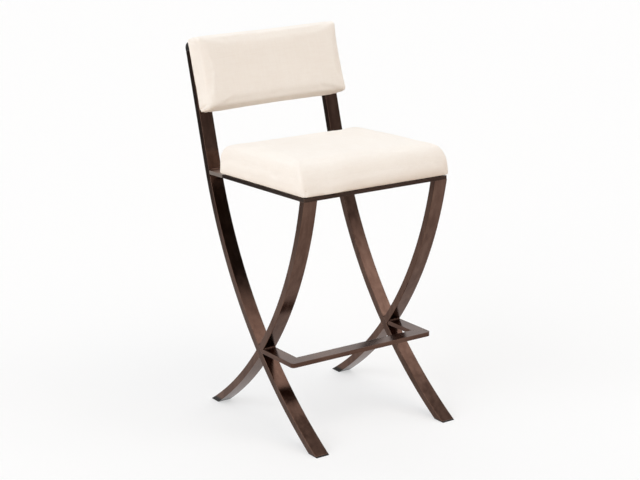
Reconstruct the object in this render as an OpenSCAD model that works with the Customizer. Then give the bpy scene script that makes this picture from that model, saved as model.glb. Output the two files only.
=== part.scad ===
// Bar stool with crossed, curved side frames, a U-shaped footrest and two upholstered pads.
// The front faces -Y, left is -X, the floor is z = 0 and the origin is the middle of the footprint.

/* [Frame tube] */
// Width of the rectangular tube, across the stool
tube_w = 40; // [34:1:50]
// Thickness of the rectangular tube, front to back
tube_t = 20; // [16:1:26]
// Wall of the rectangular tube
tube_wall = 1.5; // [1:0.1:3]
// Size of the bevel along the tube's outer corners
tube_bevel = 0.8; // [0.4:0.1:2]

/* [Side frames] */
// Width over the outer faces of the two side frames
frame_w = 457; // [400:1:520]
// Height of the seat frame's top face at its front edge
seat_frame_h = 672; // [600:1:720]
// Depth of the seat frame, from its front edge to the back posts
seat_frame_d = 455; // [420:1:500]
// Lean of the straight back posts from the vertical, in degrees
post_lean = 16; // [12:0.5:18]
// Height at which the curved front leg turns into the straight back post
post_bend_h = 672; // [650:1:710]
// Bend radius of the post and front leg, at the middle of the tube
post_bend_r = 1180; // [1100:10:1500]
// Straight length of the back post above its bend
post_straight = 313; // [290:1:360]
// Lean of the rear leg where it meets the seat frame, in degrees
leg_lean = 10.5; // [7:0.5:14]
// Bend radius of the rear leg, at the middle of the tube
leg_bend_r = 1020; // [950:10:1300]

/* [Seat frame] */
// Width of the flat bar of the seat frame
rail_w = 40; // [34:1:50]
// Thickness of the flat bar of the seat frame
rail_t = 9.5; // [5:0.5:16]
// Backward pitch of the seat frame, in degrees
seat_pitch = 1.5; // [0:0.1:4]
// Corner radius at the front of the seat frame
rail_corner_r = 4; // [2:0.5:8]

/* [Footrest] */
// Height of the footrest's top face
footrest_h = 223; // [190:1:300]
// Width of the footrest's flat bar
footrest_w = 38; // [30:1:50]
// Thickness of the footrest's flat bar
footrest_t = 12; // [8:0.5:16]
// Distance from the seat frame's front edge back to the footrest's front edge
footrest_setback = 55; // [20:1:80]
// Corner radius at the front of the footrest
footrest_corner_r = 10; // [4:1:20]

/* [Seat cushion] */
// How far the seat cushion stands out past each side frame and the seat frame's front
seat_overhang = 5; // [0:0.5:15]
// Depth of the seat cushion
seat_d = 404; // [360:1:420]
// Height of the seat cushion at its edge, above the seat frame
seat_edge_h = 75; // [50:1:110]
// Extra height of the seat cushion in the middle
seat_crown = 12; // [4:1:30]

/* [Backrest] */
// How far the backrest stands out past each side frame
back_overhang = 5; // [0:0.5:15]
// Height of the backrest along the posts
back_h = 206; // [170:1:250]
// Thickness of the backrest at its edge
back_edge_t = 52; // [40:1:80]
// Extra thickness of the backrest in the middle
back_crown = 6; // [2:1:20]
// How far the backrest's upper edge stands above the tops of the posts
back_above_post = 14; // [0:1:15]

/* [Hidden] */

// Fineness of long bends, of small round parts and of plain holes
bend_fn = 720;
round_fn = 48;

// Extra reach of every cutting shape past what it cuts
overrun = 1;
// Clearance round soft and sheet parts, and round plugs in their tubes
soft_gap = 0.3;
plug_gap = 0.2;

// Weld beads: radius, and how far they stop short of the tube's edges
weld_r = 5;
weld_inset = tube_bevel + 2;
// Clearance between the weld beads and the tubes
weld_gap = 0.1;

// Foot plugs and post caps: flange, insert, cap height and the radius of its rear top edge
plug_flange = 2.5;
plug_insert = 16;
cap_h = 22;
cap_round_r = 0.9 * tube_t;

// Centre of the post's bend in the side view, with y from the seat frame's front edge
rail_rear_z = seat_frame_h - seat_frame_d * tan(seat_pitch);
post_y = seat_frame_d + tube_t / 2 / cos(post_lean) + (post_bend_h - rail_rear_z) * tan(post_lean);
post_c = [post_y - post_bend_r * cos(post_lean), post_bend_h + post_bend_r * sin(post_lean)];
// Centre of the rear leg's bend, with its front face flush with the seat frame's front edge
leg_top_z = seat_frame_h - rail_t;
leg_top_y = tube_t / 2 / cos(leg_lean);
leg_c = [leg_top_y + leg_bend_r * cos(leg_lean), leg_top_z + leg_bend_r * sin(leg_lean)];

// Polar angles at which the two bends reach a given height
function post_angle(z) = -asin((post_c[1] - z) / (post_bend_r - tube_t / 2));
function leg_angle(z) = 180 + asin((leg_c[1] - z) / (leg_bend_r - tube_t / 2));
// Angle that a length along a bend takes up
function arc_angle(len, r) = len / r * 180 / PI;

// Lower meeting point of two circles about the bend centres
function meet(r1, r2) =
    let (
        d = norm(leg_c - post_c),
        a = (d * d + r1 * r1 - r2 * r2) / (2 * d),
        h = sqrt(r1 * r1 - a * a),
        u = (leg_c - post_c) / d
    )
    post_c + a * u + h * [u[1], -u[0]];

// Places on the faces of the bends at a height, in the side view
function post_front_y(z) = post_c[0] + sqrt(pow(post_bend_r - tube_t / 2, 2) - pow(post_c[1] - z, 2));
function leg_front_y(z) = leg_c[0] - sqrt(pow(leg_bend_r + tube_t / 2, 2) - pow(leg_c[1] - z, 2));
function leg_rear_y(z) = leg_c[0] - sqrt(pow(leg_bend_r - tube_t / 2, 2) - pow(leg_c[1] - z, 2));
function front_y(z) = min(post_front_y(z), leg_front_y(z));
// Middles of the two bends at a height
function post_mid_y(z) = post_c[0] + sqrt(pow(post_bend_r, 2) - pow(post_c[1] - z, 2));
function leg_mid_y(z) = leg_c[0] - sqrt(pow(leg_bend_r, 2) - pow(leg_c[1] - z, 2));
// Rear end of the footrest's arms, in the middle of whichever tube they meet first
footrest_mid_z = footrest_h - footrest_t / 2;
footrest_end_y = min(post_mid_y(footrest_mid_z), leg_mid_y(footrest_mid_z));
// Upper, lower and rear inner corners of the crossing
cross_corners = [
    meet(post_bend_r - tube_t / 2, leg_bend_r - tube_t / 2),
    meet(post_bend_r + tube_t / 2, leg_bend_r + tube_t / 2),
    meet(post_bend_r + tube_t / 2, leg_bend_r - tube_t / 2)
];

// Footprint: the front feet's tips and the rear of the post caps, which set the origin
foot_tip_y = post_front_y(0);
cap_c_y = post_y + (post_straight + cap_h - cap_round_r) * sin(post_lean)
    + (tube_t / 2 - cap_round_r) * cos(post_lean);
rear_y = cap_c_y + cap_round_r;
origin_y = (foot_tip_y + rear_y) / 2;

// Upholstery layers, counted up from the face that carries each pad
fabric_t = 1.6;
dust_t = 0.6;
panel_t = 2.4;
seat_board_t = 15;
back_board_t = 12;
lip_w = 14;
board_inset = 9;
dust_inset = 12;
panel_inset = 7;
sheet_corner_r = 3;
// Heights of the turned-in lip and of the board above the carrying face, over a sheet
function lip_z(sheet_t) = 2 * soft_gap + sheet_t;
function board_z(sheet_t) = lip_z(sheet_t) + fabric_t + soft_gap;
// Plan corner radius of the pads, run and rise of their soft edges
seat_corner_r = 9;
seat_edge_run = 19;
seat_edge_rise = 34;
back_corner_r = 14;
back_edge_run = 11;
back_edge_rise = 13;
// How far the pads' sides are drawn in at their base, and between their corners
pad_tuck = 1;
pad_draw = 2.5;
// Share of the crown that the edges lose
crown_edge_share = 0.5;
// Rings of a pad: shares of the way out on top, shares of the way up the side, and angles round the edge
ring_shares = [0.8, 0.55, 0.3];
side_shares = [0, 0.35, 0.7];
edge_angles = [0, 30, 60, 90];
// Segments of a pad's outline, for each corner and each side
corner_segments = 5;
side_segments = 7;

// Widths of the two pads
seat_w = frame_w + 2 * seat_overhang;
back_w = frame_w + 2 * back_overhang;
// Lower edge of the backrest, up the post from its bend
back_y = post_straight + cap_h + back_above_post - back_h;

// Screws and tee nuts
screw_d = 6;
screw_hole_d = 6.6;
head_d = 11.5;
head_h = 3.4;
socket_d = 4.6;
socket_depth = 2;
tee_barrel_d = 8;
tee_barrel_l = 9;
tee_flange_d = 19;
tee_flange_t = 1.4;
tee_gap = 0.15;
seat_screw_inset = 29;
seat_screw_ends = 75;
back_screw_ends = 58;

steel = [0.27, 0.19, 0.16];
dark_plastic = [0.1, 0.1, 0.1];
zinc = [0.72, 0.72, 0.7];
plywood = [0.78, 0.65, 0.45];
foam = [0.93, 0.85, 0.6];
cream = [0.93, 0.9, 0.85];
black_cloth = [0.13, 0.13, 0.14];

// Moves everything from the seat frame's front edge to the middle of the footprint
module placed() {
    translate([0, -origin_y, 0])
        children();
}

// Seat frame's own axes: top face at z = 0, front edge at y = 0, pitched backwards
module seat_axes() {
    translate([0, 0, seat_frame_h])
        rotate([-seat_pitch, 0, 0])
            children();
}

// Straight post's own axes: z runs up the post from its bend, y to the rear
module post_axes() {
    translate([0, post_y, post_bend_h])
        rotate([-post_lean, 0, 0])
            children();
}

// Backrest's own axes: y runs up the post from its bend, z stands forward of its front face
module back_axes() {
    post_axes()
        rotate([90, 0, 0])
            translate([0, 0, tube_t / 2])
                children();
}

// Middle of one side frame, given the side's sign
module at_side(side) {
    translate([side * (frame_w - tube_w) / 2, 0, 0])
        children();
}

// Rectangle with round corners, centred
module rounded_rect(w, h, r) {
    square([w - 2 * r, h], center = true);
    square([w, h - 2 * r], center = true);
    for (x = [-1, 1], y = [-1, 1])
        translate([x * (w / 2 - r), y * (h / 2 - r)])
            circle(r = r, $fn = round_fn);
}

// Tube section at an inset from its outer faces, with the thickness along x and bevelled corners
module tube_section(inset) {
    w = tube_t / 2 - inset;
    h = tube_w / 2 - inset;
    b = tube_bevel;
    polygon([
        [w - b, -h], [w, b - h], [w, h - b], [w - b, h],
        [b - w, h], [-w, h - b], [-w, b - h], [b - w, -h]
    ]);
}

// Plain section of a tube, wider than the tube, that cuts a neighbour to fit against it
module cope_section(gap) {
    square([tube_t + 2 * gap, 3 * tube_w], center = true);
}

// Turns a flat side view, drawn with y across and z up, into a solid across the stool
module from_side(width) {
    rotate([90, 0, 90])
        linear_extrude(width, center = true)
            children();
}

// Sweeps a section along an arc in the side view
module side_arc(c, r, from, to) {
    translate([0, c[0], c[1]])
        rotate([90, 0, 90])
            rotate([0, 0, from])
                rotate_extrude(angle = to - from, $fn = bend_fn)
                    translate([r, 0])
                        children();
}

// Centre of the post's bend, with x out to the middle of the tube at the top of the bend
module post_bend_axes() {
    translate([0, post_c[0], post_c[1]])
        rotate([90, 0, 90])
            rotate([0, 0, -post_lean])
                children();
}

// Bend of the post and front leg, from the straight post down to below the floor
module post_bend() {
    post_bend_axes()
        mirror([0, 1, 0])
            rotate_extrude(angle = -post_lean - post_angle(-tube_t), $fn = bend_fn)
                translate([post_bend_r, 0])
                    children();
}

// Post and front leg: the bend and a straight length above it
module post_run(straight) {
    post_bend()
        children();
    post_bend_axes()
        translate([post_bend_r, 0, 0])
            rotate([-90, 0, 0])
                linear_extrude(straight)
                    children();
}

// Rear leg: one bend from above the rail to below the floor
module leg_bend() {
    side_arc(leg_c, leg_bend_r, 180 + leg_lean - arc_angle(2 * rail_t, leg_bend_r), leg_angle(-tube_t))
        children();
}

// Slab as large as the stool between two heights
module slab(z0, z1) {
    translate([-frame_w, -frame_w, z0])
        cube([2 * frame_w, 3 * frame_w, z1 - z0]);
}

// Disc across the stool about the centre of a bend
module bend_disc(c, r) {
    translate([0, c[0], c[1]])
        from_side(2 * tube_w)
            circle(r = r, $fn = bend_fn);
}

// Ring across the stool that holds a bend's tube, with a clearance round it
module bend_ring(c, r, gap) {
    translate([0, c[0], c[1]])
        from_side(2 * tube_w)
            difference() {
                circle(r = r + tube_t / 2 + gap, $fn = bend_fn);
                circle(r = r - tube_t / 2 - gap, $fn = bend_fn);
            }
}

// Places of the seat's screws in the seat frame's axes
module at_seat_screws() {
    for (x = [-1, 1], y = [seat_screw_ends, seat_d - seat_screw_ends])
        translate([x * (frame_w / 2 - seat_screw_inset), y, 0])
            children();
}

// Places of the backrest's screws in the backrest's axes
module at_back_screws() {
    for (x = [-1, 1], y = [back_y + back_screw_ends, back_y + back_h - back_screw_ends])
        translate([x * (frame_w - tube_w) / 2, y, 0])
            children();
}

// Side frames

module post_tube(side) {
    color(steel) placed() difference() {
        at_side(side) difference() {
            post_run(post_straight) tube_section(0);
            post_run(post_straight + overrun) tube_section(tube_wall);
        }
        slab(-2 * tube_w, plug_flange);
        back_axes() at_back_screws()
            translate([0, 0, -tube_t - overrun])
                cylinder(d = screw_hole_d, h = tube_t + 2 * overrun, $fn = round_fn);
    }
}

// Rear leg above the crossing, fitted under the seat frame and onto the front of the post
module rear_leg_upper(side) {
    color(steel) placed() at_side(side) difference() {
        intersection() {
            difference() {
                leg_bend() tube_section(0);
                leg_bend() tube_section(tube_wall);
            }
            bend_disc(post_c, post_bend_r - tube_t / 2);
        }
        seat_axes() slab(-rail_t, 3 * rail_t);
    }
}

// Rear leg below the crossing, fitted onto the back of the post and cut flat for its foot plug
module rear_leg_lower(side) {
    color(steel) placed() at_side(side) difference() {
        leg_bend() tube_section(0);
        leg_bend() tube_section(tube_wall);
        bend_disc(post_c, post_bend_r + tube_t / 2);
        slab(-2 * tube_w, plug_flange);
    }
}

// Bead along an inner corner, cut to the two faces that it joins
module weld(corner) {
    difference() {
        translate([0, corner[0], corner[1]])
            from_side(tube_w - 2 * weld_inset)
                circle(r = weld_r, $fn = round_fn);
        children();
    }
}

// Beads at the crossing, at the footrest's arm and at the seat frame
module frame_welds(side) {
    color(steel) placed() at_side(side) {
        for (corner = cross_corners)
            weld(corner) {
                bend_ring(post_c, post_bend_r, weld_gap);
                bend_ring(leg_c, leg_bend_r, weld_gap);
            }
        for (z = [footrest_h, footrest_h - footrest_t])
            weld([front_y(z), z]) {
                bend_ring(post_c, post_bend_r, weld_gap);
                bend_ring(leg_c, leg_bend_r, weld_gap);
                slab(footrest_h - footrest_t, footrest_h);
            }
        weld([leg_rear_y(leg_top_z), leg_top_z - leg_rear_y(leg_top_z) * tan(seat_pitch)]) {
            leg_bend() cope_section(weld_gap);
            seat_axes() slab(-rail_t, 0);
        }
        for (z = [rail_rear_z, rail_rear_z - rail_t])
            weld([post_front_y(z), z]) {
                post_run(tube_w) cope_section(weld_gap);
                seat_axes() slab(-rail_t, 0);
            }
    }
}

// Plastic plug in a foot: a flange cut to the floor and an insert inside the tube
module front_foot_plug(side) {
    color(dark_plastic) placed() at_side(side) {
        intersection() {
            post_bend() tube_section(0);
            slab(0, plug_flange);
        }
        intersection() {
            post_bend() tube_section(tube_wall + plug_gap);
            slab(plug_flange, plug_flange + plug_insert);
        }
    }
}

module rear_foot_plug(side) {
    color(dark_plastic) placed() at_side(side) {
        intersection() {
            leg_bend() tube_section(0);
            slab(0, plug_flange);
        }
        intersection() {
            leg_bend() tube_section(tube_wall + plug_gap);
            slab(plug_flange, plug_flange + plug_insert);
        }
    }
}

// Side view of a post cap, rounded off towards the rear
module cap_profile() {
    difference() {
        translate([-tube_t / 2, 0])
            square([tube_t, cap_h]);
        translate([tube_t / 2 - cap_round_r, cap_h - cap_round_r])
            difference() {
                square(cap_round_r + overrun);
                circle(r = cap_round_r, $fn = round_fn);
            }
    }
}

module post_cap(side) {
    color(dark_plastic) placed() at_side(side) post_axes() translate([0, 0, post_straight]) {
        intersection() {
            linear_extrude(cap_h)
                rotate([0, 0, 90])
                    tube_section(0);
            from_side(2 * tube_w) cap_profile();
        }
        translate([0, 0, -plug_insert])
            linear_extrude(plug_insert)
                rotate([0, 0, 90])
                    tube_section(tube_wall + plug_gap);
    }
}

// Flat bar frames, both mitred at their front corners

// Plan of a frame from y0 to y1, with round front corners
module u_outline(y0, y1, r) {
    translate([-frame_w / 2, y0 + r])
        square([frame_w, y1 - y0 - r]);
    translate([-frame_w / 2 + r, y0])
        square([frame_w - 2 * r, 2 * r]);
    for (x = [-1, 1])
        translate([x * (frame_w / 2 - r), y0 + r])
            circle(r = r, $fn = round_fn);
}

module front_bar_plan(y0, w, r) {
    intersection() {
        u_outline(y0, y0 + w, r);
        polygon([
            [-frame_w / 2, y0], [frame_w / 2, y0],
            [frame_w / 2 - w, y0 + w], [-frame_w / 2 + w, y0 + w]
        ]);
    }
}

module side_bar_plan(side, y0, y1, w, r) {
    intersection() {
        u_outline(y0, y1, r);
        scale([side, 1])
            polygon([
                [frame_w / 2, y0], [frame_w / 2, y1],
                [frame_w / 2 - w, y1], [frame_w / 2 - w, y0 + w]
            ]);
    }
}

module seat_front_rail() {
    color(steel) placed() seat_axes()
        translate([0, 0, -rail_t])
            linear_extrude(rail_t)
                front_bar_plan(0, rail_w, rail_corner_r);
}

module seat_rear_rail() {
    color(steel) placed() seat_axes()
        translate([-frame_w / 2 + rail_w, seat_d - 2 * seat_overhang - rail_w, -rail_t])
            cube([frame_w - 2 * rail_w, rail_w, rail_t]);
}

// Side rail, drilled for the seat's screws and coped to the front of the post
module seat_side_rail(side) {
    color(steel) placed() difference() {
        seat_axes() difference() {
            translate([0, 0, -rail_t])
                linear_extrude(rail_t)
                    side_bar_plan(side, 0, seat_frame_d + tube_t / 2, rail_w, rail_corner_r);
            at_seat_screws()
                translate([0, 0, -rail_t - overrun])
                    cylinder(d = screw_hole_d, h = rail_t + 2 * overrun, $fn = round_fn);
        }
        at_side(side) post_run(tube_w) cope_section(0);
    }
}

module footrest_front_bar() {
    color(steel) placed()
        translate([0, 0, footrest_h - footrest_t])
            linear_extrude(footrest_t)
                front_bar_plan(footrest_setback, footrest_w, footrest_corner_r);
}

// Footrest arm, its rear end coped into the forward notch of the crossed tubes
module footrest_arm(side) {
    color(steel) placed() difference() {
        translate([0, 0, footrest_h - footrest_t])
            linear_extrude(footrest_t)
                side_bar_plan(side, footrest_setback, footrest_end_y, footrest_w, footrest_corner_r);
        at_side(side) {
            post_bend() cope_section(0);
            leg_bend() cope_section(0);
        }
    }
}

// Pads

// Corner centres of a round-cornered outline, counted anticlockwise from the front right
function corner_centre(k, hw, hd, r) = [(k % 4 < 2 ? 1 : -1) * (hw - r), (k % 4 % 3 == 0 ? -1 : 1) * (hd - r)];

// Outline with an arc at each corner and evenly spaced points along each side
function outline(hw, hd, r) = [
    for (k = [0:3])
        let (
            a = 90 * k,
            c = corner_centre(k, hw, hd, r),
            p = c + r * [cos(a), sin(a)],
            q = corner_centre(k + 1, hw, hd, r) + r * [cos(a), sin(a)]
        )
        each concat(
            [for (i = [0:corner_segments]) let (b = a - 90 + 90 * i / corner_segments) c + r * [cos(b), sin(b)]],
            [for (i = [1:side_segments - 1]) p + (q - p) * i / side_segments]
        )
];

// A pad is [width, depth, edge height, crown, corner radius, edge run, edge rise, base height]
seat_pad = [
    seat_w, seat_d, seat_edge_h, seat_crown, seat_corner_r, seat_edge_run, seat_edge_rise, lip_z(dust_t)
];
back_pad = [
    back_w, back_h, back_edge_t, back_crown, back_corner_r, back_edge_run, back_edge_rise, lip_z(panel_t)
];

// Ring of a pad's surface: inset from the sides, share of the way out, height and share of the crown
function pad_ring(pad, o, inset, share, z, crown_share) =
    let (
        hw = pad[0] / 2 - o,
        hd = pad[1] / 2 - o
    )
    [
        for (p = outline(hw - inset, hd - inset, pad[4] - o) * share)
            let (
                fx = p[0] / hw,
                fy = p[1] / hd
            )
            [
                p[0] - pad_draw * fx * (1 - fy * fy),
                p[1] - pad_draw * fy * (1 - fx * fx),
                z + crown_share * pad[3] * (1 - crown_edge_share * fx * fx) * (1 - crown_edge_share * fy * fy)
            ]
    ];

// Rings over the soft edge and the top, from the sides inwards, at an offset inside the outer surface
function top_rings(pad, o) = concat(
    [
        for (a = edge_angles)
            pad_ring(pad, o, (pad[5] - o) * (1 - cos(a)), 1, pad[2] - pad[6] + (pad[6] - o) * sin(a), sin(a))
    ],
    [for (s = ring_shares) pad_ring(pad, o, pad[5] - o, s, pad[2] - o, 1)]
);

// Ring on the side at a height, drawn in towards the base, evenly or along a curve
function side_ring(pad, o, z, bend) =
    let (u = (z - pad[7]) / (pad[2] - pad[6] - pad[7]))
    pad_ring(pad, o, pad_tuck * pow(1 - u, bend), 1, z, 0);

function top_point(pad, o) = [0, 0, pad[2] - o + pad[3]];

function reversed(v) = [for (i = [len(v) - 1:-1:0]) v[i]];

// Closed surface through rings, from a first point to a last one
module stitched(first, rings, last) {
    n = len(rings[0]);
    m = len(rings);
    polyhedron(
        points = concat([first], [for (r = rings) each r], [last]),
        faces = concat(
            [for (i = [0:n - 1]) [0, 1 + i, 1 + (i + 1) % n]],
            [
                for (j = [0:m - 2], i = [0:n - 1])
                    let (
                        a = 1 + j * n + i,
                        b = 1 + j * n + (i + 1) % n
                    )
                    each [[a, b + n, b], [a, a + n, b + n]]
            ],
            [for (i = [0:n - 1]) [1 + (m - 1) * n + i, 1 + m * n, 1 + (m - 1) * n + (i + 1) % n]]
        )
    );
}

// Cover: drawn over the foam and turned in under the board by a lip
module pad_cover(pad) {
    base = pad[7];
    top = pad[2] - pad[6];
    stitched(
        top_point(pad, fabric_t),
        concat(
            reversed(top_rings(pad, fabric_t)),
            [side_ring(pad, fabric_t, base + fabric_t, 1)],
            [pad_ring(pad, 0, lip_w, 1, base + fabric_t, 0), pad_ring(pad, 0, lip_w, 1, base, 0)],
            [for (s = side_shares) side_ring(pad, 0, base + (top - base) * s, 2)],
            top_rings(pad, 0)
        ),
        top_point(pad, 0)
    );
}

// Foam inside the cover, from the board's face to just under the cover
module pad_foam(pad, z) {
    stitched(
        [0, 0, z],
        concat([side_ring(pad, fabric_t + soft_gap, z, 1)], top_rings(pad, fabric_t + soft_gap)),
        top_point(pad, fabric_t + soft_gap)
    );
}

// Sheet or board with the pad's plan, inset from its sides
module pad_sheet(pad, inset, t) {
    linear_extrude(t)
        rounded_rect(pad[0] - 2 * inset, pad[1] - 2 * inset, max(pad[4] - inset, sheet_corner_r));
}

// Middle of each pad in the axes of what carries it
module at_seat_pad() {
    seat_axes()
        translate([0, seat_d / 2 - seat_overhang, 0])
            children();
}

module at_back_pad() {
    back_axes()
        translate([0, back_y + back_h / 2, 0])
            children();
}

module seat_cover() {
    color(cream) placed() at_seat_pad() pad_cover(seat_pad);
}

module seat_foam() {
    color(foam) placed() at_seat_pad() pad_foam(seat_pad, board_z(dust_t) + seat_board_t + soft_gap);
}

// Plywood with recessed holes for its tee nuts
module tee_nut_cuts(t) {
    translate([0, 0, -overrun])
        cylinder(d = tee_barrel_d + 2 * tee_gap, h = t + 2 * overrun, $fn = round_fn);
    translate([0, 0, t - tee_flange_t])
        cylinder(d = tee_flange_d + 2 * tee_gap, h = tee_flange_t + overrun, $fn = round_fn);
}

module seat_board() {
    color(plywood) placed() difference() {
        at_seat_pad() translate([0, 0, board_z(dust_t)]) pad_sheet(seat_pad, board_inset, seat_board_t);
        seat_axes() at_seat_screws() translate([0, 0, board_z(dust_t)]) tee_nut_cuts(seat_board_t);
    }
}

module seat_dust_cover() {
    color(black_cloth) placed() difference() {
        at_seat_pad() translate([0, 0, soft_gap]) pad_sheet(seat_pad, dust_inset, dust_t);
        seat_axes() at_seat_screws()
            cylinder(d = screw_hole_d, h = dust_t + 2 * soft_gap, $fn = round_fn);
    }
}

module back_cover() {
    color(cream) placed() at_back_pad() pad_cover(back_pad);
}

module back_foam() {
    color(foam) placed() at_back_pad() pad_foam(back_pad, board_z(panel_t) + back_board_t + soft_gap);
}

module back_board() {
    color(plywood) placed() difference() {
        at_back_pad() translate([0, 0, board_z(panel_t)]) pad_sheet(back_pad, board_inset, back_board_t);
        back_axes() at_back_screws() translate([0, 0, board_z(panel_t)]) tee_nut_cuts(back_board_t);
    }
}

// Fabric-covered panel that closes the back of the backrest
module back_panel() {
    color(cream) placed() difference() {
        at_back_pad() translate([0, 0, soft_gap]) pad_sheet(back_pad, panel_inset, panel_t);
        back_axes() at_back_screws()
            cylinder(d = screw_hole_d, h = panel_t + 2 * soft_gap, $fn = round_fn);
    }
}

// Fasteners

// Tee nut with its flange's outer face at z = 0 and its barrel below
module tee_nut() {
    difference() {
        union() {
            translate([0, 0, -tee_flange_t])
                cylinder(d = tee_flange_d, h = tee_flange_t, $fn = round_fn);
            translate([0, 0, -tee_barrel_l])
                cylinder(d = tee_barrel_d, h = tee_barrel_l, $fn = round_fn);
        }
        translate([0, 0, -tee_barrel_l - overrun])
            cylinder(d = screw_d + 2 * tee_gap, h = tee_barrel_l + 2 * overrun, $fn = round_fn);
    }
}

// Button head screw with its head below z = 0 and its shank above
module screw(len) {
    difference() {
        union() {
            translate([0, 0, -head_h])
                cylinder(d = head_d, h = head_h, $fn = round_fn);
            cylinder(d = screw_d, h = len, $fn = round_fn);
        }
        translate([0, 0, -head_h - overrun])
            cylinder(d = socket_d, h = socket_depth + overrun, $fn = 6);
    }
}

module seat_tee_nuts() {
    color(zinc) placed() seat_axes() at_seat_screws()
        translate([0, 0, board_z(dust_t) + seat_board_t])
            tee_nut();
}

module seat_screws() {
    color(zinc) placed() seat_axes() at_seat_screws()
        translate([0, 0, -rail_t])
            screw(rail_t + board_z(dust_t) + seat_board_t - tee_flange_t);
}

module back_tee_nuts() {
    color(zinc) placed() back_axes() at_back_screws()
        translate([0, 0, board_z(panel_t) + back_board_t])
            tee_nut();
}

module back_screws() {
    color(zinc) placed() back_axes() at_back_screws()
        translate([0, 0, -tube_t])
            screw(tube_t + board_z(panel_t) + back_board_t - tee_flange_t);
}

post_tube(-1);  // left_post_tube
post_tube(1);  // right_post_tube
rear_leg_upper(-1);  // left_rear_leg_upper
rear_leg_upper(1);  // right_rear_leg_upper
rear_leg_lower(-1);  // left_rear_leg_lower
rear_leg_lower(1);  // right_rear_leg_lower
frame_welds(-1);  // left_frame_welds
frame_welds(1);  // right_frame_welds
post_cap(-1);  // left_post_cap
post_cap(1);  // right_post_cap
front_foot_plug(-1);  // front_left_foot_plug
front_foot_plug(1);  // front_right_foot_plug
rear_foot_plug(-1);  // rear_left_foot_plug
rear_foot_plug(1);  // rear_right_foot_plug
seat_front_rail();
seat_rear_rail();
seat_side_rail(-1);  // seat_left_rail
seat_side_rail(1);  // seat_right_rail
footrest_front_bar();
footrest_arm(-1);  // footrest_left_arm
footrest_arm(1);  // footrest_right_arm
seat_board();
seat_foam();
seat_cover();
seat_dust_cover();
seat_tee_nuts();
seat_screws();
back_board();
back_foam();
back_cover();
back_panel();
back_tee_nuts();
back_screws();
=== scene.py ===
import math

import bpy
import numpy as np
from mathutils import Matrix, Vector, noise


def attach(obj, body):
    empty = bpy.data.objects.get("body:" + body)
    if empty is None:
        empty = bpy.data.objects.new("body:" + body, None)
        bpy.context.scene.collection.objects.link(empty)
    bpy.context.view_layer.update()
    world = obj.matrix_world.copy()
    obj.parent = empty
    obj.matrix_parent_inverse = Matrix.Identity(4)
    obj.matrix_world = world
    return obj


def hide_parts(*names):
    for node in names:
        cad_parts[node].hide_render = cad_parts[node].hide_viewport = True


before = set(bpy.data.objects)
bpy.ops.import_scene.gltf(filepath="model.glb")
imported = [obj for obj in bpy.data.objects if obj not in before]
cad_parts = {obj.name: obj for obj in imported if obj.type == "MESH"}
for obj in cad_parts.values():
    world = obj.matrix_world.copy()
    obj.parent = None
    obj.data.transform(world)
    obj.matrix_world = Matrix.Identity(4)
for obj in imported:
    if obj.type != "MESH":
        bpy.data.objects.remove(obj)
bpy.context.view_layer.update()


scene = bpy.context.scene


# Pads, in metres. Each has its own axes: x across it, y from its front or lower edge to the other
# one, and z out from the frame that it is fixed to.

TUCK = 0.001  # how far in the sides are at the underside
DRAW = 0.0025  # how far in the sides are half way between two corners
EDGE_SHARE = 0.5  # how much of the crown is gone at an edge
LEAST_CORNER = 0.003
CORNER_STEPS, SIDE_STEPS = 8, 30
FRONT_FROM = 0.62  # share of the half depth where the front's own form begins
LEAN_FROM = 0.22  # share of the height where the front begins to lean, above the board inside

START = 0.0012  # how much smaller a pad is before it swells
PRESSURE = 4.0
LAST_FRAME = 20
HELD_BELOW = 0.0022  # cloth this near to the underside doesn't move

FOLD_LEAN = 0.25  # how far a fold leads away from its corner as it rises
PULL_DEPTH, PULL_PITCH, PULL_PHASE = 0.00045, 0.031, 1.7  # marks of the staples underneath
WAVES = ((14, (3.1, 7.7, 1.3), 0.00055), (42, (9.4, 2.2, 5.1), 0.00022))  # scale, offset, height


class Pad:
    """A cushion's full form.

    w, d and edge are its width, its depth and the height of its edge, and crown is how much higher
    its middle is. corner is its corners' radius, run and rise are how far the rounding of the top
    edge reaches in and down, and base is the height of the underside.

    The front leans back by lean at its top, and its rounding is deeper and lower by these lengths.
    skew gives the left end more of all three and the right end less. The front stands out by belly
    half way up. full is how much of its fall the crown lacks towards the right edge.
    """

    def __init__(self, name, place, w, d, edge, crown, corner, run, rise, base,
                 lean=0, deeper=0, lower=0, skew=0, belly=0, full=0):
        self.name, self.place = name, place
        self.w, self.d, self.edge, self.crown = w, d, edge, crown
        self.corner, self.run, self.rise, self.base = corner, run, rise, base
        self.lean, self.deeper, self.lower, self.skew = lean, deeper, lower, skew
        self.belly, self.full = belly, full


def shift(x, y, z):
    return Matrix.Translation((x, y, z))


def turn(degrees, axis="X"):
    return Matrix.Rotation(math.radians(degrees), 4, axis)


FRAME_FRONT = shift(0, -0.256455, 0.672)  # top of the seat frame's front edge
POSTS = FRAME_FRONT @ shift(0, 0.468819, 0)  # the posts' middle line at that height
SEAT_SLOPE, POST_LEAN, BACK_TWIST = -1.5, -16, 1.2

SEAT = Pad(
    "seat_cushion", FRAME_FRONT @ turn(SEAT_SLOPE) @ shift(0, 0.197, 0),
    w=0.468, d=0.404, edge=0.075, crown=0.012, corner=0.009, run=0.019, rise=0.034, base=0.0012,
    lean=0.008, deeper=0.020, lower=0.024, skew=0.5, belly=0.006, full=0.8,
)
BACK = Pad(
    "backrest_cushion",
    POSTS @ turn(POST_LEAN) @ turn(90) @ shift(0, 0.2472, 0.010) @ turn(BACK_TWIST, "Z"),
    w=0.467, d=0.206, edge=0.052, crown=0.006, corner=0.011, run=0.011, rise=0.013, base=0.0030,
)


def smoothstep(lo, hi, v):
    t = np.clip((v - lo) / (hi - lo), 0, 1)
    return t * t * (3 - 2 * t)


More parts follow.
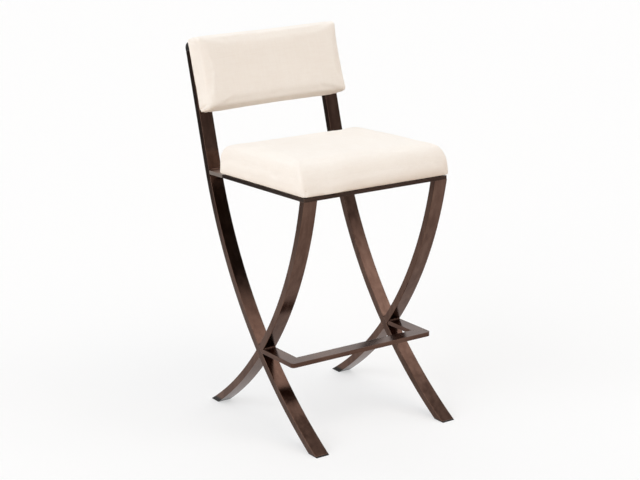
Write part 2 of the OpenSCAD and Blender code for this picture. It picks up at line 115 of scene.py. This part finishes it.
def outline(hw, hd, r):
    """Points round a rectangle with round corners, anticlockwise."""
    signs = ((1, -1), (1, 1), (-1, 1), (-1, -1))
    centres = [np.array([sx * (hw - r), sy * (hd - r)]) for sx, sy in signs]
    points = []
    for k, c in enumerate(centres):
        side = centres[(k + 1) % 4] - c
        a = math.radians(90 * k)
        for i in range(CORNER_STEPS + 1):
            b = a - math.pi / 2 + math.pi / 2 * i / CORNER_STEPS
            points.append(c + r * np.array([math.cos(b), math.sin(b)]))
        out = r * np.array([math.cos(a), math.sin(a)])
        for i in range(1, SIDE_STEPS):
            points.append(c + out + side * i / SIDE_STEPS)
    return np.array(points)


def ring(pad, o, inset, share, z, crown_share, h=0, deep=0, low=0):
    """One ring of the surface of a pad that is o smaller all round than its full form.

    The ring lies inset from the outline and is shrunk to share of it, at height z plus crown_share
    of the crown. h is its share of the pad's height. deep and low are its shares of what the
    front's rounding is deeper and lower.
    """
    hw, hd = pad.w / 2 - o, pad.d / 2 - o
    p = outline(hw - inset, hd - inset, max(pad.corner - o, LEAST_CORNER)) * share
    fx, fy = p[:, 0] / hw, p[:, 1] / hd
    front = smoothstep(FRONT_FROM, 1, -fy)
    uneven = front * (1 - pad.skew * fx)
    lean = pad.lean * max(0, h - LEAN_FROM) / (1 - LEAN_FROM) + pad.deeper * deep
    belly = pad.belly * 4 * h * (1 - h) * (1 - fx**4) * front
    x = p[:, 0] - DRAW * fx * (1 - fy**2)
    y = p[:, 1] - DRAW * fy * (1 - fx**2) + lean * uneven - belly
    edge_x = EDGE_SHARE * np.where(fx > 0, 1 - pad.full, 1)
    top = z + crown_share * pad.crown * (1 - edge_x * fx**2) * (1 - EDGE_SHARE * fy**2)
    return np.column_stack([x, y, top - pad.lower * low * uneven])


def pad_rings(pad, o):
    """Rings from the middle of the underside, up the sides and over to the middle of the top."""
    shoulder = pad.edge - pad.rise
    rings = [ring(pad, o, inset, 1, pad.base, 0) for inset in (0.08, 0.05, 0.02)]
    for s in np.linspace(0, 0.92, 8):
        z = pad.base + (shoulder - pad.base) * s
        rings.append(ring(pad, o, (TUCK - o) * (1 - s) ** 2, 1, z, 0, z / pad.edge, 0, s))
    for a in np.radians(np.linspace(0, 90, 10)):
        z = shoulder + (pad.rise - o) * math.sin(a)
        h = min(z / pad.edge, 1)
        c = 1 - math.cos(a)
        rings.append(ring(pad, o, (pad.run - o) * c, 1, z, math.sin(a), h, c, 1 - math.sin(a)))
    for share in (0.93, 0.85, 0.75, 0.64, 0.52, 0.4, 0.27, 0.13):
        rings.append(ring(pad, o, pad.run - o, share, pad.edge - o, 1, 1, 1))
    return rings


def pad_mesh(pad, o):
    """The surface of a pad that is o smaller all round, closed by a flat underside."""
    rings = pad_rings(pad, o)
    n = len(rings[0])
    points = [(0, 0, pad.base)] + [tuple(p) for r in rings for p in r]
    points.append((0, 0, pad.edge - o + pad.crown))
    faces = [(0, 1 + (i + 1) % n, 1 + i) for i in range(n)]
    for j in range(len(rings) - 1):
        for i in range(n):
            a, b = 1 + j * n + i, 1 + j * n + (i + 1) % n
            faces.append((a, b, b + n, a + n))
    top = 1 + (len(rings) - 1) * n
    faces += [(top + i, top + (i + 1) % n, top + n) for i in range(n)]
    mesh = bpy.data.meshes.new(pad.name)
    mesh.from_pydata(points, [], faces)
    mesh.update()
    return mesh


def apply_modifier(obj, modifier):
    bpy.ops.object.select_all(action="DESELECT")
    obj.select_set(True)
    bpy.context.view_layer.objects.active = obj
    bpy.ops.object.modifier_apply(modifier=modifier.name)


def read(mesh, field):
    """The coordinates or normals of all points, one row each."""
    rows = np.zeros(len(mesh.vertices) * 3, np.float64)
    mesh.vertices.foreach_get(field, rows)
    return rows.reshape(-1, 3)


def write(mesh, co):
    mesh.vertices.foreach_set("co", co.astype(np.float32).ravel())
    mesh.update()


def swell(obj, pad, cap):
    """Inflates a pad as cloth held along its underside. Each point stays within cap."""
    before = read(obj.data, "co")
    held = obj.vertex_groups.new(name="held")
    rows = np.nonzero(before[:, 2] < pad.base + HELD_BELOW)[0]
    held.add([int(i) for i in rows], 1.0, "REPLACE")
    cloth = obj.modifiers.new("cloth", "CLOTH")
    s = cloth.settings
    s.quality = 6
    s.mass = 0.35
    s.tension_stiffness = s.compression_stiffness = 22
    s.shear_stiffness = 8
    s.bending_stiffness = 1.2
    s.use_pressure = True
    s.uniform_pressure_force = PRESSURE
    s.effector_weights.gravity = 0
    s.vertex_group_mass = "held"
    cloth.collision_settings.use_collision = False
    cloth.point_cache.frame_start, cloth.point_cache.frame_end = 1, LAST_FRAME
    for f in range(1, LAST_FRAME + 1):
        scene.frame_set(f)
    apply_modifier(obj, cloth)
    scene.frame_set(1)
    moved = read(obj.data, "co") - before
    far = np.maximum(np.linalg.norm(moved, axis=1, keepdims=True), 1e-9)
    write(obj.data, before + moved / far * cap * np.tanh(far / cap))
    obj.vertex_groups.clear()


def along_edge(co, pad):
    """For each point its distance to the nearest corner, along the pad's outline, that corner's
    number, and whether it is on a side that faces left or right."""
    dx, dy = pad.w / 2 - np.abs(co[:, 0]), pad.d / 2 - np.abs(co[:, 1])
    on_x_side = dx < dy
    corner = (co[:, 0] > 0).astype(int) + 2 * (co[:, 1] > 0).astype(int)
    return np.where(on_x_side, dy, dx), corner, on_x_side


def tailor(obj, pad, folds, height, reach):
    """Folds at the corners, the pull of the staples along the base, and a little unevenness.

    The folds are full up to half of height and gone above it. They show where the surface is as
    steep as reach says, from none to full.
    """
    co, no = read(obj.data, "co"), read(obj.data, "normal")
    u, corner, on_x_side = along_edge(co, pad)
    z = co[:, 2] - pad.base
    steep = smoothstep(*reach, 1 - np.abs(no[:, 2]))
    low = 1 - smoothstep(0.5 * height, height, z)
    depth = np.zeros(len(co))
    for (k, facing), corner_folds in folds.items():
        here = (corner == k) & (on_x_side == facing)
        for place, width, deep in corner_folds:
            middle = place + FOLD_LEAN * z[here]
            depth[here] += deep * np.exp(-(((u[here] - middle) / width) ** 2)) * low[here]
    s = np.where(on_x_side, co[:, 1], co[:, 0])
    pulls = 0.5 + 0.5 * np.cos(2 * math.pi * s / PULL_PITCH + PULL_PHASE * corner)
    near_base, off_corner = 1 - smoothstep(0.002, 0.016, z), smoothstep(0.012, 0.03, u)
    depth += PULL_DEPTH * pulls * near_base * off_corner
    wave = np.array([
        sum(noise.noise(Vector(p) * scale + Vector(offset)) * tall for scale, offset, tall in WAVES)
        for p in co
    ])
    free = smoothstep(0.0005, 0.004, z)
    move = (-depth * steep + wave * free)[:, None] * no
    move[:, 2] *= free
    write(obj.data, co + move)


def cushion(pad, cap, voxel, folds, height, reach):
    obj = bpy.data.objects.new(pad.name, pad_mesh(pad, START))
    scene.collection.objects.link(obj)
    remesh = obj.modifiers.new("remesh", "REMESH")
    remesh.mode = "VOXEL"
    remesh.voxel_size = voxel
    apply_modifier(obj, remesh)
    swell(obj, pad, cap)
    even = obj.modifiers.new("even", "SMOOTH")
    even.factor, even.iterations = 0.5, 4
    apply_modifier(obj, even)
    finer = obj.modifiers.new("finer", "SUBSURF")
    finer.levels = finer.render_levels = 1
    apply_modifier(obj, finer)
    tailor(obj, pad, folds, height, reach)
    for p in obj.data.polygons:
        p.use_smooth = True
    obj.matrix_world = pad.place
    return obj


# Materials

class Nodes:
    """A node tree, emptied, with short names for what is built in it.

    A value is a number, a colour, a vector or another node's output.
    """

    def __init__(self, tree):
        tree.nodes.clear()
        self.nodes, self.links = tree.nodes, tree.links

    def put(self, socket, value):
        if isinstance(value, bpy.types.NodeSocket):
            self.links.new(value, socket)
        elif value is not None:
            socket.default_value = value

    def node(self, kind, settings=(), **inputs):
        n = self.nodes.new(kind)
        for key, value in dict(settings).items():
            setattr(n, key, value)
        for key, value in inputs.items():
            self.put(n.inputs[key.replace("_", " ")], value)
        return n

    def ordered(self, kind, settings, *values):
        """A node whose inputs take the values in order."""
        n = self.node(kind, settings)
        for socket, value in zip(n.inputs, values):
            self.put(socket, value)
        return n

    def math(self, operation, *values):
        return self.ordered("ShaderNodeMath", {"operation": operation}, *values).outputs[0]

    def plus(self, a, b):
        return self.math("ADD", a, b)

    def minus(self, a, b):
        return self.math("SUBTRACT", a, b)

    def times(self, a, b):
        return self.math("MULTIPLY", a, b)

    def most(self, first, *others):
        for value in others:
            first = self.math("MAXIMUM", first, value)
        return first

    def dot(self, a, b):
        settings = {"operation": "DOT_PRODUCT"}
        return self.ordered("ShaderNodeVectorMath", settings, a, b).outputs["Value"]

    def axes(self, vector):
        return self.node("ShaderNodeSeparateXYZ", Vector=vector).outputs

    def span(self, value, a, b, lo, hi, interpolation="LINEAR"):
        """lo where value is a, hi where it is b, and neither less nor more beyond."""
        return self.node("ShaderNodeMapRange", {"interpolation_type": interpolation},
                         Value=value, From_Min=a, From_Max=b, To_Min=lo, To_Max=hi).outputs[0]

    def shared(self, share, a, b):
        """Shader a with a share of b."""
        return self.ordered("ShaderNodeMixShader", (), share, a, b).outputs[0]


class Look(Nodes):
    """A material on the Principled shader."""

    def __init__(self, name, **plain):
        self.material = bpy.data.materials.new(name)
        self.material.use_nodes = True
        super().__init__(self.material.node_tree)
        self.out = self.node("ShaderNodeOutputMaterial")
        self.shader = self.node("ShaderNodeBsdfPrincipled", **plain)
        self.put(self.out.inputs[0], self.shader.outputs[0])

    def coords(self):
        return self.node("ShaderNodeTexCoord").outputs["Object"]

    def noise(self, scale, detail, roughness):
        """Noise at a scale per metre, one number or one for each axis."""
        vector = self.coords()
        if isinstance(scale, tuple):
            vector, scale = self.node("ShaderNodeMapping", Vector=vector, Scale=scale).outputs[0], 1
        return self.node("ShaderNodeTexNoise", Vector=vector, Scale=scale, Detail=detail,
                         Roughness=roughness).outputs["Fac"]

    def dots(self, scale, randomness=1):
        return self.node("ShaderNodeTexVoronoi", Vector=self.coords(), Scale=scale,
                         Randomness=randomness).outputs["Distance"]

    def mix(self, share, a, b):
        """Colour a with a share of b, on the sockets that the node has for colours."""
        n = self.node("ShaderNodeMix", {"data_type": "RGBA"})
        for socket, value in zip((n.inputs[0], n.inputs[6], n.inputs[7]), (share, a, b)):
            self.put(socket, value)
        return n.outputs[2]

    def bump(self, height, distance, strength, normal=None):
        return self.node("ShaderNodeBump", Height=height, Distance=distance, Strength=strength,
                         Normal=normal).outputs[0]

    def worn_edge(self, width):
        """1 along a sharp edge, falling to 0 within width, and the normal softened there."""
        soft = self.node("ShaderNodeBevel", {"samples": 6}, Radius=width).outputs[0]
        flat = self.node("ShaderNodeNewGeometry").outputs["Normal"]
        return self.span(self.dot(soft, flat), 0.995, 0.9, 0, 1), soft

    def set(self, **inputs):
        for key, value in inputs.items():
            self.put(self.shader.inputs[key.replace("_", " ")], value)
        return self.material


def rgb(r, g, b):
    """Linear colour from 0 to 255 display values."""
    def one(v):
        v /= 255
        return v / 12.92 if v <= 0.04045 else ((v + 0.055) / 1.055) ** 2.4
    return (one(r), one(g), one(b), 1)


def bronze(name, stretch, dark=(80, 58, 49), light=(104, 80, 69), painted_highlight_from=None, painted_shade_below=None):
    """Dark bronze lacquer on steel: brushed-on tone, a fine grain and rubbed edges.

    stretch is the scale of the brush marks. Behind y = painted_highlight_from a painted highlight
    lightens it, and below z = painted_shade_below painted shade darkens it.
    """
    look = Look(name, Metallic=1.0, IOR=1.5)
    streaks = look.noise(stretch, 5, 0.6)
    clouds = look.noise(11, 3, 0.55)
    grain = look.noise(900, 2, 0.6)
    tone = look.span(look.plus(look.times(streaks, 0.6), look.times(clouds, 0.4)), 0.36, 0.64, 0, 1)
    base = look.mix(tone, rgb(*dark), rgb(*light))
    worn, soft = look.worn_edge(0.0014)
    scuffs = look.span(look.noise(60, 4, 0.7), 0.48, 0.68, 0, 1)
    wear = look.times(worn, look.math("MULTIPLY_ADD", scuffs, 0.45, 0.15))
    colour = look.mix(wear, base, rgb(150, 116, 95))
    rough = look.span(look.plus(streaks, look.times(grain, 0.3)), 0.4, 0.9, 0.14, 0.25)
    # Behind the given y the colour turns to a painted highlight in light grey, and the surface is
    # rougher there.
    if painted_highlight_from is not None:
        painted_highlight = look.span(look.axes(look.coords())[1], painted_highlight_from, painted_highlight_from + 0.004, 0, 1)
        colour = look.mix(painted_highlight, colour, rgb(178, 164, 154))
        rough = look.most(rough, look.times(painted_highlight, 0.4))
    # Painted shade near the floor darkens the colour below the given z, to almost black.
    if painted_shade_below is not None:
        painted_foot_shade = look.span(look.axes(look.coords())[2], painted_shade_below, painted_shade_below + 0.008, 1, 0)
        colour = look.mix(painted_foot_shade, colour, rgb(40, 37, 34))
    height = look.plus(streaks, look.times(grain, 0.25))
    return look.set(Base_Color=colour, Roughness=rough,
                    Normal=look.bump(height, 0.00012, 0.3, soft))


def weld_bronze():
    """The same lacquer over the ripples of a weld bead."""
    look = Look("bronze_weld", Metallic=1.0, IOR=1.5)
    ripples = look.node("ShaderNodeTexWave", Vector=look.coords(), Scale=95, Distortion=2.2,
                        Detail=2, Detail_Scale=3).outputs["Fac"]
    clouds = look.noise(160, 3, 0.6)
    base = look.mix(look.span(clouds, 0.35, 0.65, 0, 1), rgb(74, 53, 45), rgb(98, 75, 65))
    height = look.plus(ripples, look.times(clouds, 0.5))
    return look.set(Base_Color=base, Roughness=look.span(clouds, 0.3, 0.7, 0.26, 0.4),
                    Normal=look.bump(height, 0.0005, 0.8))


def moulded_black():
    """Black plastic with a moulded grain and scuffed edges."""
    look = Look("moulded_black", IOR=1.46, Specular_IOR_Level=0.35)
    dust = look.noise(45, 4, 0.6)
    worn, soft = look.worn_edge(0.0008)
    base = look.mix(look.span(dust, 0.4, 0.7, 0, 1), rgb(14, 13, 13), rgb(28, 26, 25))
    colour = look.mix(look.times(worn, 0.35), base, rgb(86, 82, 80))
    return look.set(Base_Color=colour, Roughness=look.span(dust, 0.3, 0.7, 0.42, 0.6),
                    Normal=look.bump(look.dots(1100), 0.00012, 0.5, soft))


def zinc_plate():
    """Zinc-plated steel of the screws and tee nuts."""
    look = Look("zinc_plate", Metallic=1.0)
    spots = look.noise(420, 4, 0.65)
    fine = look.noise((2400, 2400, 300), 2, 0.5)
    _, soft = look.worn_edge(0.0004)
    base = look.mix(look.span(spots, 0.35, 0.65, 0, 1), rgb(176, 174, 166), rgb(208, 206, 198))
    return look.set(Base_Color=base, Roughness=look.span(spots, 0.3, 0.7, 0.24, 0.4),
                    Normal=look.bump(fine, 0.00006, 0.4, soft))


def birch_ply():
    """Birch plywood: long grain on the faces and dark glue lines round the edge."""
    look = Look("birch_ply", IOR=1.5)
    grain = look.noise((4, 90, 90), 6, 0.62)
    fibre = look.noise((30, 900, 900), 3, 0.6)
    plies = look.node("ShaderNodeTexWave", {"bands_direction": "Z"}, Vector=look.coords(),
                      Scale=110, Distortion=0.3).outputs["Fac"]
    wood = look.mix(look.span(grain, 0.35, 0.68, 0, 1), rgb(214, 184, 140), rgb(186, 148, 102))
    colour = look.mix(look.times(plies, 0.18), wood, rgb(120, 84, 52))
    return look.set(Base_Color=colour, Roughness=look.span(fibre, 0.3, 0.7, 0.58, 0.75),
                    Normal=look.bump(fibre, 0.0002, 0.4))


def backing_cloth():
    """Black spun cloth of the dust cover, with its pressed dots."""
    look = Look("dust_cloth", IOR=1.4, Sheen_Weight=0.3, Sheen_Roughness=0.5)
    fibres = look.noise(1500, 4, 0.7)
    base = look.mix(look.span(fibres, 0.35, 0.7, 0, 1), rgb(26, 26, 28), rgb(52, 51, 53))
    height = look.plus(look.dots(620, 0.15), look.times(fibres, 0.6))
    return look.set(Base_Color=base, Roughness=look.span(fibres, 0.3, 0.7, 0.75, 0.95),
                    Normal=look.bump(height, 0.0003, 0.7))


THREAD_PITCH = 0.00105


def cream_weave(name, top):
    """Cream upholstery cloth in plain weave.

    Its threads follow the pad's width and depth, and turn down its sides at height top.
    """
    look = Look(name, IOR=1.45, Sheen_Weight=0.35, Sheen_Roughness=0.45,
                Sheen_Tint=(1, 0.99, 0.97, 1), Specular_IOR_Level=0.25)
    tex = look.node("ShaderNodeTexCoord").outputs
    place, facing = look.axes(tex["Object"]), look.axes(tex["Normal"])
    down = look.minus(place[2], top)

    def along(axis, other):
        """How far a point lies along one axis, counted on down the sides that face that way."""
        turned = look.span(look.math("ABSOLUTE", facing[other]), 0.25, 0.75, 0, 1)
        on_side = look.times(down, look.minus(1.0, turned))
        return look.minus(on_side, look.math("ABSOLUTE", place[axis]))

    slip = look.math("MULTIPLY_ADD", look.noise(70, 3, 0.5), 0.0012, -0.0006)
    threads = math.pi / THREAD_PITCH
    warp = look.math("SINE", look.times(look.plus(along(0, 1), slip), threads))
    weft = look.math("SINE", look.times(look.minus(along(1, 0), slip), threads))
    over = look.math("MULTIPLY_ADD", look.times(warp, weft), 0.5, 0.5)
    thread = look.plus(look.times(look.math("ABSOLUTE", warp), over),
                       look.times(look.math("ABSOLUTE", weft), look.minus(1.0, over)))
    fuzz = look.noise(2600, 2, 0.7)
    slubs = look.plus(look.noise((26, 240, 240), 3, 0.6), look.noise((240, 26, 240), 3, 0.6))
    tone = look.plus(look.times(slubs, 0.3), look.times(look.noise(9, 4, 0.6), 0.4))
    base = look.mix(look.span(tone, 0.36, 0.64, 0, 1), rgb(245, 238, 230), rgb(250, 245, 238))
    # Painted shade darkens the cloth in the hollows between the threads.
    colour = look.mix(look.span(thread, 0.05, 0.55, 0.32, 0), base, rgb(231, 218, 204))
    fine = look.bump(look.plus(thread, look.times(fuzz, 0.35)), 0.00022, 0.6)
    return look.set(Base_Color=colour, Roughness=look.span(fuzz, 0.3, 0.7, 0.78, 0.95),
                    Normal=look.bump(look.noise(33, 2, 0.5), 0.0012, 0.25, fine))


FLOOR_WHITE = 0.52  # share of plain white in the floor, where it is seen


def floor_look():
    """Pale floor that keeps the shadow and throws back warm light.

    It is white to the camera, in glass and in metal, but metal finds the studio unlit far off at
    the back left.
    """
    look = Look("studio_floor", Roughness=0.9, Specular_IOR_Level=0.1)
    path = look.node("ShaderNodeLightPath").outputs
    back_left = look.dot(look.coords(), (-0.574, 0.819, 0))
    unlit = look.times(path["Is Glossy Ray"], look.span(back_left, 1.3, 2.9, 0, 0.9))
    pale = look.mix(path["Is Diffuse Ray"], (0.9, 0.9, 0.9, 1), (0.66, 0.54, 0.44, 1))
    look.set(Base_Color=look.mix(unlit, pale, (0, 0, 0, 1)))
    seen = look.most(path["Is Camera Ray"], path["Is Glossy Ray"], path["Is Transmission Ray"])
    share = look.times(seen, look.math("MULTIPLY_ADD", unlit, -FLOOR_WHITE, FLOOR_WHITE))
    white = look.node("ShaderNodeEmission", Strength=1.0).outputs[0]
    look.put(look.out.inputs[0], look.shared(share, look.shader.outputs[0], white))
    return look.material


def paint(material, *nodes):
    for n in nodes:
        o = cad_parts[n]
        if not o.material_slots:
            o.data.materials.append(material)
        for s in o.material_slots:
            s.link = "OBJECT"
            s.material = material


UP, LEVEL = (70, 70, 5), (9, 9, 60)  # brush marks that run up a piece and along it

# The posts get a darker copy of the bronze: painted shade.
paint(bronze("bronze_post", UP, (70, 51, 43), (94, 72, 62)), "left_post_tube", "right_post_tube")
# The uprights carry painted shade on their last 10 mm above the floor.
paint(bronze("bronze_upright", UP, painted_shade_below=0.010), "left_rear_leg_upper", "right_rear_leg_upper",
      "left_rear_leg_lower", "right_rear_leg_lower")
# The front and rear rails get a darker copy of the bronze: painted shade.
paint(bronze("bronze_rail", LEVEL, (52, 39, 34), (70, 55, 48)),
      "seat_front_rail", "seat_rear_rail")
# The side rails get a lighter, greyer copy of the bronze, a painted reflection, with a painted
# highlight at their rear ends.
paint(bronze("bronze_side_rail", LEVEL, (72, 59, 53), (94, 79, 71), painted_highlight_from=0.128),
      "seat_left_rail", "seat_right_rail")
paint(bronze("bronze_level", LEVEL),
      "footrest_front_bar", "footrest_left_arm", "footrest_right_arm")
paint(weld_bronze(), "left_frame_welds", "right_frame_welds")
paint(moulded_black(), "left_post_cap", "right_post_cap", "front_left_foot_plug",
      "front_right_foot_plug", "rear_left_foot_plug", "rear_right_foot_plug")
paint(zinc_plate(), "seat_screws", "back_screws", "seat_tee_nuts", "back_tee_nuts")
paint(birch_ply(), "seat_board", "back_board")
paint(backing_cloth(), "seat_dust_cover")
paint(cream_weave("cream_panel", 0.9), "back_panel")


# Cushions, each standing for its cover and foam. Their folds are listed by corner, 0 and 1 at the
# front or below and 0 and 2 on the left, and by whether that side of it faces left or right: the
# distance from the corner, the width and the depth of each.

SEAT_FOLDS = {
    (0, False): [(0.010, 0.0026, 0.0012)],
    (0, True): [(0.008, 0.0024, 0.0010)],
    (1, False): [(0.011, 0.0028, 0.0011)],
    (1, True): [(0.009, 0.0024, 0.0012)],
    (2, False): [(0.009, 0.0030, 0.0012)],
    (2, True): [(0.012, 0.0026, 0.0011)],
    (3, False): [(0.010, 0.0028, 0.0012)],
    (3, True): [(0.010, 0.0026, 0.0010)],
}
BACK_FOLDS = {
    (0, False): [(0.009, 0.0030, 0.0030), (0.021, 0.0038, 0.0018)],
    (0, True): [(0.008, 0.0028, 0.0024)],
    (1, False): [(0.010, 0.0030, 0.0030), (0.026, 0.0042, 0.0020)],
    (1, True): [(0.009, 0.0028, 0.0026)],
    (2, False): [(0.010, 0.0030, 0.0012)],
    (2, True): [(0.011, 0.0028, 0.0012)],
    (3, False): [(0.011, 0.0030, 0.0012)],
    (3, True): [(0.010, 0.0028, 0.0012)],
}

seat = cushion(SEAT, cap=0.0030, voxel=0.0045, folds=SEAT_FOLDS, height=0.030, reach=(0.35, 0.8))
back = cushion(BACK, cap=0.0040, voxel=0.004, folds=BACK_FOLDS, height=0.056, reach=(0.04, 0.4))
for obj, pad, nodes in ((seat, SEAT, ("seat_cover", "seat_foam")),
                        (back, BACK, ("back_cover", "back_foam"))):
    obj.data.materials.append(cream_weave(pad.name + "_cloth", pad.edge))
    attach(obj, "root")
    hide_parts(*nodes)


# Studio

FLOOR_REACH = 60
corners = [(x * FLOOR_REACH, y * FLOOR_REACH, 0) for x, y in ((-1, -1), (1, -1), (1, 1), (-1, 1))]
floor_mesh = bpy.data.meshes.new("studio_floor")
floor_mesh.from_pydata(corners, [], [(0, 1, 2, 3)])
floor = bpy.data.objects.new("studio_floor", floor_mesh)
floor_mesh.materials.append(floor_look())
scene.collection.objects.link(floor)

world = bpy.data.worlds.new("studio")
scene.world = world
world.use_nodes = True
sky = Nodes(world.node_tree)
way = sky.node("ShaderNodeTexCoord").outputs["Generated"]


def towards(direction, lo, hi, level):
    """Light that comes from a side of the studio, level where it is full."""
    return sky.span(sky.dot(way, direction), lo, hi, 0, level, "SMOOTHSTEP")


ceiling = towards((0, 0, 1), 0.3, 0.55, 0.44)
sweep = towards((0.574, 0.819, 0), 0.05, 0.5, 1.0)
panel = towards((0.47, -0.85, 0.23), 0.75, 0.95, 0.48)
box = towards((0.55, -0.45, 0.70), 0.93, 0.985, 2.6)
everywhere = 0.26
light = sky.node("ShaderNodeBackground", Color=(0.985, 0.99, 1.0, 1),
                 Strength=sky.most(ceiling, sweep, panel, box, everywhere)).outputs[0]
white = sky.node("ShaderNodeBackground", Color=(1, 1, 1, 1), Strength=1.0).outputs[0]
path = sky.node("ShaderNodeLightPath").outputs
in_metal = sky.times(path["Is Glossy Ray"], sweep)
seen = sky.most(path["Is Camera Ray"], path["Is Transmission Ray"], in_metal)
sky.put(sky.node("ShaderNodeOutputWorld").inputs[0], sky.shared(seen, light, white))


def sun(name, azimuth, elevation, strength, angle, colour):
    """A soft lamp. Its azimuth is counted from the front towards the right."""
    data = bpy.data.lights.new(name, "SUN")
    data.energy, data.angle, data.color = strength, math.radians(angle), colour
    lamp = bpy.data.objects.new(name, data)
    a, e = math.radians(azimuth), math.radians(elevation)
    away = Vector((math.sin(a) * math.cos(e), -math.cos(a) * math.cos(e), math.sin(e)))
    lamp.rotation_euler = away.to_track_quat("Z", "Y").to_euler()
    scene.collection.objects.link(lamp)


sun("left_box", azimuth=-85, elevation=25, strength=1.85, angle=60, colour=(0.94, 0.972, 1.0))
sun("front_box", azimuth=10, elevation=58, strength=0.66, angle=45, colour=(1.0, 0.88, 0.76))

lens = bpy.data.cameras.new("camera")
lens.sensor_fit = "HORIZONTAL"
lens.sensor_width = 36
lens.lens = 86.31
camera = bpy.data.objects.new("camera", lens)
camera.location = (-2.30774, -3.29180, 1.58103)
camera.rotation_euler = (math.radians(74.60), 0, math.radians(-35.02))
scene.collection.objects.link(camera)
scene.camera = camera
scene.view_settings.view_transform = "Standard"
